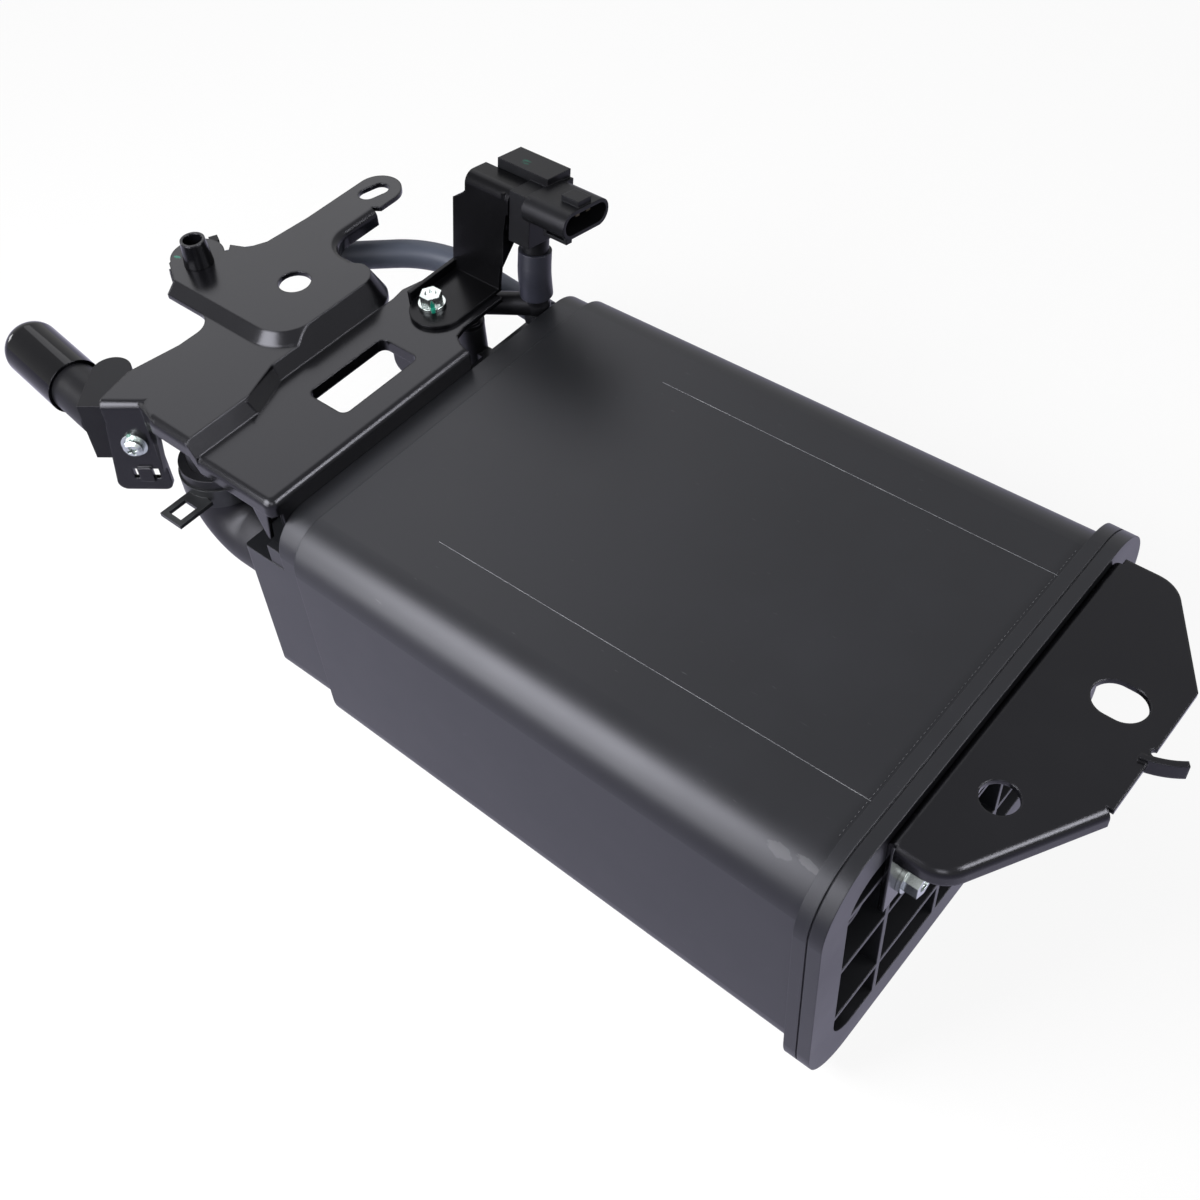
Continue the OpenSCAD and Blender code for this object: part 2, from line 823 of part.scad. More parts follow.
// Middle level on the left
module middle_level() {
    c = cos(side_a);
    s = sin(side_a);
    cut = step_r_x - 0.5 * mid_rise;
    tail = x_face - 111;
    web = web_b - web_a;
    translate([0, 0, mid_level - sheet])
        linear_extrude(height = sheet)
            difference() {
                union() {
                    polygon([[step_l_x - step_run, front_left_y + fold_r],
                         [lip_end, front_left_y + fold_r], web_a + 0.13 * web, web_a + 0.75 * web,
                         [side_x + 8.7 * c - 3.2 * s, side_y + 8.7 * s + 3.2 * c],
                         [side_x + side_s * c - fold_r * s, side_y + side_s * s + fold_r * c],
                         [side_x - 8 * c - fold_r * s, side_y - 8 * s + fold_r * c],
                         [x_face - 87.7, -68], [notch_c[0] + notch_r, notch_c[1] - notch_r],
                         [notch_c[0] + notch_r, notch_c[1]], notch_c, [notch_c[0], zone_foot_y],
                         [tail, zone_foot_y], [zone_cx, zone_foot_y], [zone_cx, zone_cy],
                         [cut, zone_cy], [cut, link_b], [step_l_x - step_run, link_a]]);
                }
                translate([zone_cx, zone_cy])
                    circle(zone_r + zone_run - 0.5);
                translate(notch_c)
                    circle(notch_r);
            }
    folded_edge([step_l_x - step_run, front_left_y, mid_level], -90, step_l_x - step_run - lip_end,
                fold_r, front_lip);
    translate([web_a[0], web_a[1], mid_level])
        rotate([90, 0, atan2(web[1], web[0])])
            translate([0, 0, -web_t / 2])
                linear_extrude(height = web_t)
                    polygon([[-1, -0.5], [norm(web) + 0.5, -0.5], [norm(web) + 0.5, -web_drop],
                             [-1, -front_lip]]);
}

// Raised zone with the locating hole, the collar and the slotted arm
module hole_zone() {
    tail = x_face - 111;
    arm_r = arm_w / 2;
    edge = arm_x + arm_r;
    c = [edge + arm_fillet, zone_right_y + arm_fillet];
    translate([0, 0, zone_level - sheet])
        linear_extrude(height = sheet) {
            difference() {
                union() {
                    polygon([[tail, zone_left_y], [zone_cx, zone_left_y], [zone_cx, zone_cy],
                             [zone_front_x, zone_cy], [zone_front_x, zone_right_y - zone_right_r],
                             [zone_front_x - zone_right_r, zone_right_y - zone_right_r],
                             [zone_front_x - zone_right_r, zone_right_y - fold_r],
                             [c[0], zone_right_y - fold_r], c, [edge - fold_r, c[1]],
                             [edge - fold_r, arm_tip_y - 10], [edge, arm_tip_y - 8],
                             [edge, arm_tip_y], [arm_x - arm_r, arm_tip_y], [arm_x - arm_r, 32],
                             [arm_x - arm_r - 1.5, 12], [arm_x - arm_r - 5, 5], [arm_x - arm_r - 12, 2],
                             [collar_x + 4, -1], [collar_x - 12, -13], [collar_x - 9, -20]]);
                    translate([collar_x - 4, -10])
                        circle(10.5);
                    translate([zone_cx, zone_cy])
                        circle(zone_r);
                    translate([zone_front_x - zone_right_r, zone_right_y - zone_right_r])
                        circle(zone_right_r);
                    translate([arm_x, arm_tip_y])
                        circle(arm_r);
                }
                translate(c)
                    circle(arm_fillet + fold_r);
            }
        }
    folded_edge([c[0], zone_right_y, zone_level], 90, zone_front_x - zone_right_r - c[0], fold_r, front_lip);
    folded_edge([edge, arm_tip_y - 10.5, zone_level], 0, arm_tip_y - 10.5 - c[1], fold_r, front_lip);
    translate([c[0], c[1], zone_level])
        rotate([0, 0, 180])
            rotate_extrude(angle = 90)
                translate([arm_fillet, 0])
                    mirror([1, 0])
                        fold_outline(fold_r, front_lip);
    translate([tail, 0, 0])
        rotate([90, 0, 90])
            linear_extrude(height = zone_cx - tail)
                polygon([[zone_left_y, zone_level], [zone_foot_y, mid_level],
                         [zone_foot_y, mid_level - sheet], [zone_left_y, zone_level - sheet]]);
    difference() {
        zone_cone(0);
        zone_cone(sheet);
        translate([zone_cx, zone_cy, mid_level - 1])
            cylinder(h = zone_rise, r = zone_r - 1);
        translate([zone_cx - 2 * zone_r, zone_cy - 2 * zone_r, 0])
            cube([2 * zone_r, 4 * zone_r, 2 * zone_level]);
        translate([zone_cx - zone_r, zone_cy, 0])
            cube([4 * zone_r, 2 * zone_r, 2 * zone_level]);
        translate([0, zone_cy, 0])
            rotate([90, 0, 0])
                linear_extrude(height = 2 * zone_r)
                    polygon([[step_r_x, strip_z], [zone_front_x, zone_level],
                             [zone_front_x + 20, zone_level]]);
    }
}

// Flange that is turned down on the skew and holds the vent block
module side_flange() {
    r = side_corner_r;
    up = [sin(side_lean), cos(side_lean)];
    low = side_c + r * [-up[1], up[0]];
    side_frame()
        folded_edge([side_s, 0, mid_level], -90, side_s + 8, fold_r, 10);
    side_frame()
        translate([0, sheet, 0])
            rotate([90, 0, 0])
                linear_extrude(height = sheet)
                    difference() {
                        union() {
                            polygon([[side_s, mid_level - fold_r], [side_s, side_c[1]],
                                     [side_s - r, side_c[1] - r], [side_c[0], side_c[1] - r], low,
                                     low + 28 * up, [-8, mid_level - fold_r - 6], [-8, mid_level - fold_r]]);
                            translate(side_c)
                                circle(r);
                            translate([side_s - r, side_c[1]])
                                circle(r);
                        }
                        translate([-5, 86])
                            square([10, 5]);
                    }
    side_frame()
        translate([-2.7, -1, 85])
            cube([5.4, sheet - 0.3, 7]);
}

module front_holes() {
    translate([window_x, window_y, strip_z - sheet - 1])
        linear_extrude(height = sheet + 2)
            round_rect(window_w, window_l, 3);
    translate([x_face - 72, 1, zone_level - sheet - 1])
        cylinder(h = sheet + 2, d = zone_hole_d);
    translate([arm_x - 0.5, arm_tip_y - 2, zone_level - sheet - 1])
        linear_extrude(height = sheet + 2)
            rotate(75)
                slot_outline(arm_slot_w, arm_slot_e);
    translate([collar_x, collar_y, zone_level - sheet - 1])
        cylinder(h = sheet + 2, d = 0.8 * collar_d);
    translate([screw_x, screw_y, strip_z - sheet - 1])
        cylinder(h = sheet + 2, d = sensor_screw_d);
    for (y = [end_screw_l, end_screw_r])
        translate([x_face - sheet - 1, y, end_screw_z])
            rotate([0, 90, 0])
                cylinder(h = sheet + 2, d = end_screw_d);
    side_frame()
        translate([side_screw_s, -1, side_screw_z])
            rotate([-90, 0, 0])
                cylinder(h = sheet + 2, d = 4);
}

module front_bracket_screws() {
    color("#c8cacc")
    for (y = [end_screw_l, end_screw_r])
        translate([x_face - sheet, y, end_screw_z])
            rotate([0, -90, 0])
                hex_screw(end_screw_d, 5, sheet + 9);
}

module bracket_collar() {
    color("#1e1f21")
    translate([collar_x, collar_y, 0])
        difference() {
            union() {
                translate([0, 0, zone_level])
                    cylinder(h = collar_h, d1 = collar_d, d2 = collar_d - 2);
                translate([0, 0, zone_level - sheet])
                    cylinder(h = sheet, d = 0.8 * collar_d);
            }
            translate([0, 0, zone_level - sheet - 1])
                cylinder(h = collar_h + sheet + 2, d = collar_bore);
        }
}

// Moves a shape to the leaning upright of the sensor bracket
module post_frame() {
    translate([0, post_y, post_z])
        rotate([-lean, 0, 0])
            children();
}

// Sheet in the plane of the upright
module post_sheet(depth) {
    translate([0, depth, 0])
        rotate([90, 0, 0])
            linear_extrude(height = depth)
                children();
}

module sensor_bracket() {
    xl = x_face - upright_left;
    xr = x_face - upright_right;
    r = (xr - xl) / 2;
    t = sensor_sheet;
    top_r = 4.5;
    color("#2b2c2f")
    difference() {
        union() {
            translate([0, 0, strip_z])
                linear_extrude(height = t) {
                    translate([xl + r, screw_y])
                        circle(r);
                    translate([xl, screw_y])
                        square([2 * r, post_y + t - screw_y]);
                }
            translate([xl - t, screw_y - 3, strip_z])
                cube([t, post_y + t - screw_y + 3, 5.5]);
            translate([xl - t + 0.1, screw_y - 3, strip_z])
                cube([t, post_y + t - screw_y + 3, t]);
            post_frame() {
                post_sheet(t)
                    polygon([[xl - t, -0.4], [xl - t, 29.5], [xl + 3.5, 33], [xl + 4.2, upright_h - 6],
                             [xr + 3.3, upright_h - 6], [xr + 1.5, 20], [xr, -0.4]]);
                translate([xl + 4.5, 0, upright_h])
                    rotate([90, 0, 90])
                        linear_extrude(height = xr - xl - 0.5) {
                            translate([top_r, t - top_r])
                                difference() {
                                    intersection() {
                                        circle(top_r);
                                        translate([-top_r, 0])
                                            square(top_r);
                                    }
                                    circle(top_r - t);
                                }
                            translate([top_r, 0])
                                square([11.5 - top_r, t]);
                            translate([0, -8])
                                square([t, 8 + t - top_r]);
                        }
                translate([xl - t, 0, 2])
                    cube([t, 6, 27.5]);
                translate([xr + 0.5, 0, 0])
                    rotate([90, 0, 90])
                        linear_extrude(height = t)
                            polygon([[0, upright_h], [9, upright_h], [9, 22], [0, 10]]);
            }
        }
        translate([screw_x, screw_y, strip_z - 1])
            cylinder(h = t + 2, d = sensor_screw_d);
    }
}

module sensor_bracket_screw() {
    color("#d0d2d4")
    translate([screw_x, screw_y, strip_z + sensor_sheet])
        hex_screw(sensor_screw_d, 1.1 * sensor_screw_d, sheet + sensor_sheet + 1.1 * sensor_screw_d);
}

module sensor_weld_nut() {
    color("#8f9193")
    translate([screw_x, screw_y, strip_z - sheet - 5])
        difference() {
            cylinder(h = 5, d = 2 * sensor_screw_d, $fn = 6);
            translate([0, 0, -1])
                cylinder(h = 7, d = sensor_screw_d);
        }
}

// Connector outline lying along X
module conn_bar(x1, x2, inset) {
    translate([x1, conn_n, conn_up])
        rotate([90, 0, 90])
            linear_extrude(height = x2 - x1)
                slot_outline(conn_h - 2 * inset, conn_w - conn_h);
}

module pressure_sensor() {
    color("#242528")
    post_frame() {
        difference() {
            union() {
                translate([x_face - 26, 9.6, stub_up])
                    cube([17, 15, upright_h - stub_up]);
                translate([x_face - 26, 11.9, stub_up])
                    cube([17, 12.7, upright_h + 5.2 - stub_up]);
                translate([x_face - 9.8, 0.6, stub_up])
                    cube([9.8, 24, 20]);
                translate([x_face - 11.5, 11.9, upright_h - 2])
                    cube([10, 12.7, 7.2]);
                conn_bar(x_face - 2, conn_x, 0);
                translate([conn_x - 9, conn_n - 3.5, conn_up])
                    cube([8, 7, conn_h / 2 + 2.2]);
                translate([stub_x, conn_n, hose_top_up - 5.5])
                    cylinder(h = stub_up - hose_top_up + 6, d = sensor_hose_bore);
                translate([stub_x, conn_n, hose_top_up])
                    cylinder(h = stub_up - hose_top_up + 0.5, d = sensor_hose_bore + 2.5);
                connector_strap();
            }
            conn_bar(conn_x - conn_depth, conn_x + 1, conn_wall);
            translate([stub_x, conn_n, 0])
                cylinder(h = stub_up + 6, d = sensor_hose_bore - 3.4);
        }
    }
}

// Thin strap moulded under the connector
module connector_strap() {
    translate([conn_x - 13, conn_n - 8, conn_up - conn_h / 2 - 3]) {
        cube([11, 3, 1.2]);
        for (x = [0, 9.6])
            translate([x, 0, 0])
                cube([1.4, 3, 3.7]);
    }
}

module sensor_terminals() {
    color("#c9b27a")
    post_frame()
        for (i = [-1, 0, 1])
            translate([conn_x - conn_depth, conn_n + 6 * i - 1.1, conn_up - 0.4])
                cube([conn_depth - 4, 2.2, 0.8]);
}

module sensor_hose() {
    drop_z = post_z + (hose_top_up - 6) * cos(lean) - conn_n * sin(lean) - hose_arc * sin(lean);
    color("#3c4048")
    difference() {
        sensor_hose_bar(sensor_hose_d, 0, drop_z);
        sensor_hose_bar(sensor_hose_bore, 1, drop_z);
    }
}

// Round bar along the run of the sensor hose
module sensor_hose_bar(d, over, drop_z) {
    post_frame()
        translate([stub_x, conn_n, hose_top_up - 6 - bend_lap])
            cylinder(h = 6 + bend_lap + over, d = d);
    translate([stub_x, hose_drop_y + hose_arc, drop_z])
        rotate([90, 0, 90])
            rotate([0, 0, 180 - lean])
                rotate_extrude(angle = lean)
                    translate([hose_arc, 0])
                        circle(d = d + bend_full);
    translate([stub_x, hose_drop_y, hose_low_z - over])
        cylinder(h = drop_z - hose_low_z + bend_lap + over, d = d);
}

module sensor_elbow() {
    color("#1c1d1f")
    translate([stub_x, hose_drop_y, 0])
        difference() {
            union() {
                translate([0, 0, elbow_z])
                    cylinder(h = hose_low_z - elbow_z, d = sensor_hose_bore + 1.6);
                translate([0, 0, hose_low_z])
                    cylinder(h = 7, d = sensor_hose_bore);
                translate([0, 0, elbow_z])
                    sphere(d = sensor_hose_bore + 2.2);
                elbow_run(elbow_d);
            }
            translate([0, 0, elbow_z])
                cylinder(h = 20, d = elbow_d - 3);
            translate([0, 0, elbow_z])
                rotate([0, -90, elbow_a])
                    cylinder(h = elbow_l, d = elbow_d - 3.4);
            rotate([0, 0, elbow_a])
                translate([-elbow_l, 0, tower_z - 20])
                    cylinder(h = elbow_z - tower_z + 20, d = elbow_d - 3);
        }
}

// Level pipe of the elbow and the leg that goes down into the tower
module elbow_run(d) {
    translate([0, 0, elbow_z])
        rotate([0, -90, elbow_a])
            cylinder(h = elbow_l, d = d);
    rotate([0, 0, elbow_a])
        translate([-elbow_l, 0, 0]) {
            translate([0, 0, elbow_z])
                sphere(d = d + 0.8);
            translate([0, 0, tower_z - 12])
                cylinder(h = elbow_z - tower_z + 12, d = d);
            translate([0, 0, tower_z])
                cylinder(h = 2, d = d + 3);
        }
}

// Round bar along the run of the long vent hose; bends are a hair fuller than straights
module vent_hose_bar(d, over) {
    p1 = [-vent_arc - vent_arc * sin(vent_turn), vent_y - vent_arc + vent_arc * cos(vent_turn)];
    vent_frame() {
        translate([-vent_arc - bend_lap, vent_y, 0])
            rotate([0, 90, 0])
                cylinder(h = vent_arc + bend_lap - 4 + over, d = d);
        translate([-vent_arc, vent_y - vent_arc, 0])
            rotate([0, 0, 90])
                rotate_extrude(angle = vent_turn)
                    translate([vent_arc, 0])
                        circle(d = d + bend_full);
        translate(p1)
            rotate([0, 0, vent_turn]) {
                translate([bend_lap, 0, 0])
                    rotate([0, -90, 0])
                        cylinder(h = vent_run + 2 * bend_lap, d = d);
                translate([-vent_run, -vent_arc2, 0])
                    rotate([0, 0, 90])
                        rotate_extrude(angle = vent_turn2)
                            translate([vent_arc2, 0])
                                circle(d = d + bend_full);
            }
    }
    vent_tail_frame()
        translate([bend_lap, 0, 0])
            rotate([0, -90, 0])
                cylinder(h = vent_tail + bend_lap + over, d = d);
}

// Moves a shape to the start of the last straight of the long vent hose
module vent_tail_frame() {
    p1 = [-vent_arc - vent_arc * sin(vent_turn), vent_y - vent_arc + vent_arc * cos(vent_turn)];
    vent_frame()
        translate(p1)
            rotate([0, 0, vent_turn])
                translate([-vent_run - vent_arc2 * sin(vent_turn2), vent_arc2 * (cos(vent_turn2) - 1), 0])
                    rotate([0, 0, vent_turn2])
                        children();
}

module vent_hose() {
    color("#5a5f68")
    difference() {
        vent_hose_bar(vent_hose_d, 0);
        vent_hose_bar(vent_hose_bore, 1);
    }
}

// Flat spring band with its ring along X
module band(d, w) {
    rotate([0, 90, 0])
        difference() {
            cylinder(h = w, d = d + 2 * band_t);
            translate([0, 0, -1])
                cylinder(h = w + 2, d = d);
        }
}

module vent_hose_clamps() {
    color("#3a3b3d")
    {
        vent_frame()
            translate([-14, vent_y, 0])
                band(vent_hose_d, 6);
        vent_tail_frame()
            translate([-vent_tail + 1.5, 0, 0])
                band(vent_hose_d, 5);
    }
}

module hose_joiner() {
    color("#1c1d1f")
    vent_tail_frame()
        translate([-vent_tail, 0, 0])
            rotate([0, -90, 0])
                difference() {
                    union() {
                        translate([0, 0, -10])
                            cylinder(h = 20, d = vent_hose_bore);
                        cylinder(h = 2, d = vent_hose_d);
                    }
                    translate([0, 0, -11])
                        cylinder(h = 30, d = vent_hose_bore - 3);
                }
}

module hose_clip() {
    color("#1c1d1f")
    {
        vent_tail_frame()
            translate([-5, 0, 0])
                band(vent_hose_d, 4.5);
        clip_post();
    }
}

// Post from the hose clip up to the underside of the hole zone
module clip_post() {
    intersection() {
        vent_tail_frame()
            translate([-4.5, -2, vent_hose_d / 2 + 0.1])
                cube([3.5, 4, 40]);
        translate([x_face - 160, -60, 0])
            cube([120, 120, zone_level - sheet]);
    }
}

// Moves a shape to the skewed flange: width, depth behind it, height
module side_frame() {
    translate([side_x, side_y, 0])
        rotate([0, 0, side_a])
            children();
}

module vent_valve() {
    r = block_w / 2;
    h = mid_level - sheet - 1 - block_z;
    color("#2a2b2e")
    difference() {
        union() {
            side_frame() {
                translate([block_s - block_w, sheet, block_z])
                    cube([block_w, block_l, h]);
                translate([block_s - r, sheet + block_l, block_z])
                    cylinder(h = h, r = r);
                translate([side_screw_s, sheet, side_screw_z])
                    rotate([-90, 0, 0])
                        cylinder(h = 15, d = 12);
            }
            translate([air_x - barrel_l, air_y, barrel_z])
                rotate([0, 90, 0])
                    cylinder(h = barrel_l, d = barrel_d);
            translate([air_x, air_y, air_top_z - 13])
                cylinder(h = barrel_z - air_top_z + 13, d = air_hose_bore);
            intersection() {
                outlet_frame()
                    translate([-10, 0, 0])
                        rotate([0, 90, 0])
                            cylinder(h = 42, d = outlet_d);
                side_frame()
                    translate([-80, sheet + 0.6, outlet_z - outlet_d])
                        cube([90, 80, 2 * outlet_d]);
            }
        }
        translate([air_x, air_y, air_top_z - 14])
            cylinder(h = barrel_z - air_top_z + 14, d = air_hose_bore - 2 * wall);
        outlet_frame()
            rotate([0, 90, 0])
                cylinder(h = 33, d = outlet_d - 4);
        side_frame()
            translate([side_screw_s, sheet - 1, side_screw_z])
                rotate([-90, 0, 0])
                    cylinder(h = 13, d = 4);
    }
}

// Axis of the capped outlet
module outlet_frame() {
    translate([x_face - outlet_x, outlet_y, outlet_z])
        rotate([0, 0, outlet_a])
            children();
}

module vent_valve_screw() {
    color("#d0d2d4")
    side_frame()
        translate([side_screw_s, 0, side_screw_z])
            rotate([90, 0, 0])
                difference() {
                    union() {
                        cylinder(h = 1.2, d = 9.8);
                        cylinder(h = 3.2, d = 7.4);
                        translate([0, 0, 3.2])
                            cylinder(h = 1, d1 = 7.4, d2 = 5);
                        translate([0, 0, -sheet - 11])
                            cylinder(h = sheet + 11, d = 4);
                    }
                    for (a = [0, 90])
                        rotate([0, 0, a + 20])
                            translate([-0.5, -2, 2.4])
                                cube([1, 4, 3]);
                }
}

module dust_cap() {
    tip_r = 0.36 * dust_d;
    color("#0f0f10")
    outlet_frame()
        translate([cap_start, 0, 0])
            rotate([0, 90, 0])
                difference() {
                    rotate_extrude()
                        intersection() {
                            union() {
                                square([dust_d / 2, dust_l - tip_r]);
                                square([dust_d / 2 - tip_r, dust_l]);
                                translate([dust_d / 2 - tip_r, dust_l - tip_r])
                                    circle(tip_r);
                            }
                            square([dust_d, dust_l]);
                        }
                    translate([0, 0, -1])
                        cylinder(h = dust_l - 3, d = outlet_d);
                }
}

// Round bar along the run of the air hose
module air_hose_bar(d, over) {
    translate([x_end - 9, air_y, air_z])
        rotate([0, 90, 0])
            cylinder(h = 9 + over, d = d);
    translate([x_end - 9, air_y, air_z + air_bend])
        rotate([90, 0, 0])
            rotate([0, 0, 180])
                rotate_extrude(angle = 90)
                    translate([air_bend, 0])
                        circle(d = d);
    translate([air_x, air_y, air_z + air_bend])
        cylinder(h = air_top_z - air_z - air_bend + over, d = d);
}

module air_hose() {
    color("#17181a")
    difference() {
        air_hose_bar(air_hose_d, 0);
        air_hose_bar(air_hose_bore, 1);
    }
}

module air_hose_clamp() {
    z = air_z + air_bend + 1;
    color("#3a3b3d")
    translate([air_x, air_y, z]) {
        difference() {
            union() {
                cylinder(h = 8, d = air_hose_d + 2 * band_t);
                translate([-1, -air_hose_d / 2 - 14, 3])
                    difference() {
                        cube([11, 15, 1.6]);
                        translate([2.2, 2.2, -1])
                            cube([6.6, 7.4, 4]);
                    }
            }
            translate([0, 0, -1])
                cylinder(h = 10, d = air_hose_d);
        }
    }
}

canister_body();
end_cap();
main_charcoal_bed();
second_charcoal_bed();
support_grids();
far_filters();
near_filters();
pressure_plates();
bed_springs();
rear_bracket();
rear_bracket_bolts();
front_bracket();
front_bracket_screws();
bracket_collar();
sensor_bracket();
sensor_bracket_screw();
sensor_weld_nut();
pressure_sensor();
sensor_terminals();
sensor_hose();
sensor_elbow();
vent_hose();
vent_hose_clamps();
hose_joiner();
hose_clip();
vent_valve();
vent_valve_screw();
dust_cap();
air_hose();
air_hose_clamp();
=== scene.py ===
"""Finishes, small surface details, light and camera of the charcoal canister."""
import logging
import math
from dataclasses import dataclass
from enum import Enum
from typing import Any, ClassVar

import bpy
import bmesh
from mathutils import Matrix, Vector


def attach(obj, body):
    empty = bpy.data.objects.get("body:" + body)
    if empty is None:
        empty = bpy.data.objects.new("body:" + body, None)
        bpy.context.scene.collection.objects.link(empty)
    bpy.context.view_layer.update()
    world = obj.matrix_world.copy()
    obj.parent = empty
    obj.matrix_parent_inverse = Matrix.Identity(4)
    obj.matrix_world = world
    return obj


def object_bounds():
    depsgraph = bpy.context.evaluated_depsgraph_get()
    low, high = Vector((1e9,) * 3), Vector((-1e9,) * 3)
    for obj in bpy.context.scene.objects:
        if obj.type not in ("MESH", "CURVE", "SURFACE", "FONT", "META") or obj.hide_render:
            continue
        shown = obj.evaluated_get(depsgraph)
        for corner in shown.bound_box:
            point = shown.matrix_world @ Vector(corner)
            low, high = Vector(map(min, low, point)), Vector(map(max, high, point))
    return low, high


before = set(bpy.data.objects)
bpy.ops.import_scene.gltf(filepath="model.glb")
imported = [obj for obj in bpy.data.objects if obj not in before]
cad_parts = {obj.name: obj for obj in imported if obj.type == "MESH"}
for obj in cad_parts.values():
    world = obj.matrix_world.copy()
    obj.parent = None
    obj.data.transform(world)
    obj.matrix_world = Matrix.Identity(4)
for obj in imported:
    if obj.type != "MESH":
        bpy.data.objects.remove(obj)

LOG = logging.getLogger("canister")
CAD_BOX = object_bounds()
MM = 0.001
WHITE = "#ffffff"

# A node and the name or number of one of its outputs.
Link = tuple[bpy.types.Node, Any]

# Socket numbers of a mix node that mixes colours, where names are not unique.
MIX_SHARE = 0
MIX_FIRST = 6
MIX_SECOND = 7
MIX_RESULT = 2


class Surface(Enum):
    """How a surface was made, which decides the grain that is drawn on it."""

    MOULDED = "moulded"
    COATED = "dip coated"
    PLATED = "zinc plated"
    EXTRUDED = "extruded"
    DIPPED = "dipped"
    LOOSE = "pressed or packed"


def linear(hex_code: str) -> tuple[float, float, float, float]:
    """Turn an sRGB hex colour into linear values.

    Args:
        hex_code: six hex digits, with or without a leading hash.

    Returns:
        Linear red, green, blue and an alpha of one.
    """
    digits = hex_code.lstrip("#")
    channels = []
    for start in (0, 2, 4):
        value = int(digits[start:start + 2], 16) / 255
        channels.append(value / 12.92 if value <= 0.04045 else ((value + 0.055) / 1.055) ** 2.4)
    return (channels[0], channels[1], channels[2], 1.0)


def add_node(tree: bpy.types.NodeTree, kind: str, inputs: dict[Any, Any] | None = None,
             **settings: Any) -> bpy.types.Node:
    """Add one shader node with its settings, values and links.

    Args:
        tree: the node tree that takes the node.
        kind: Blender's name of the node type.
        inputs: socket name or number to a value, or to a link that feeds it.
        settings: attributes of the node itself.

    Returns:
        The new node.
    """
    node = tree.nodes.new(kind)
    for name, value in settings.items():
        setattr(node, name, value)
    for socket, value in (inputs or {}).items():
        if isinstance(value, tuple) and isinstance(value[0], bpy.types.Node):
            tree.links.new(value[0].outputs[value[1]], node.inputs[socket])
        else:
            node.inputs[socket].default_value = value
    return node


def add_math(tree: bpy.types.NodeTree, operation: str, first: Any, second: Any) -> Link:
    """Add one sum of two values.

    Args:
        tree: the node tree that takes it.
        operation: Blender's name of the sum.
        first: a value, or a link to one.
        second: a value, or a link to one.

    Returns:
        A link to the result.
    """
    return (add_node(tree, "ShaderNodeMath", {0: first, 1: second}, operation=operation), "Value")


def remap(tree: bpy.types.NodeTree, value: Link, source: tuple[float, float],
          target: tuple[float, float] = (0.0, 1.0)) -> Link:
    """Stretch one range of values on to another.

    Args:
        tree: the node tree that takes it.
        value: a link to the value.
        source: the range that is stretched; what lies outside it is held at its ends.
        target: the range that it becomes.

    Returns:
        A link to the stretched value.
    """
    ends = {"From Min": source[0], "From Max": source[1], "To Min": target[0], "To Max": target[1]}
    return (add_node(tree, "ShaderNodeMapRange", {"Value": value, **ends}), "Result")


def mix_colours(tree: bpy.types.NodeTree, share: Link, first: Any, second: Any) -> Link:
    """Mix two colours.

    Args:
        tree: the node tree that takes the mix.
        share: a link to the second colour's share.
        first: a linear colour, or a link to one.
        second: a linear colour, or a link to one.

    Returns:
        A link to the mixed colour.
    """
    inputs = {MIX_SHARE: share, MIX_FIRST: first, MIX_SECOND: second}
    return (add_node(tree, "ShaderNodeMix", inputs, data_type="RGBA"), MIX_RESULT)


@dataclass(frozen=True)
class Mark:
    """A ragged dab on a surface, such as marking paint, or a pale rub that also paints a highlight.

    Places and half sizes are in millimetres in the row frame; the turn is about Z. The edge is the range of
    raggedness less reach in which the dab fades in.
    """

    at_mm: tuple[float, float, float]
    half_mm: tuple[float, float, float]
    turn_deg: float = 0.0
    colour: str = "#0c6d5a"
    weight: float = 1.0
    ragged_scale: ClassVar[float] = 2.0
    ragged_detail: ClassVar[float] = 3.0
    edge: ClassVar[tuple[float, float]] = (-0.5, -0.35)

    def cover(self, tree: bpy.types.NodeTree, place: Link) -> Link:
        """Draw where the dab lies.

        Args:
            tree: the material's node tree.
            place: a link to the row frame's coordinates.

        Returns:
            A link to the share of the surface that the dab hides.
        """
        near = add_node(tree, "ShaderNodeMapping", {
            "Vector": place,
            "Location": Vector(self.at_mm) * MM,
            "Scale": Vector(self.half_mm) * MM,
            "Rotation": (0.0, 0.0, math.radians(self.turn_deg))}, vector_type="TEXTURE")
        ragged = add_node(tree, "ShaderNodeTexNoise", {
            "Vector": (near, "Vector"), "Scale": self.ragged_scale, "Detail": self.ragged_detail})
        reach = add_node(tree, "ShaderNodeVectorMath", {0: (near, "Vector")}, operation="LENGTH")
        inside = add_math(tree, "SUBTRACT", (ragged, "Fac"), (reach, "Value"))
        return remap(tree, inside, self.edge, (0.0, self.weight))


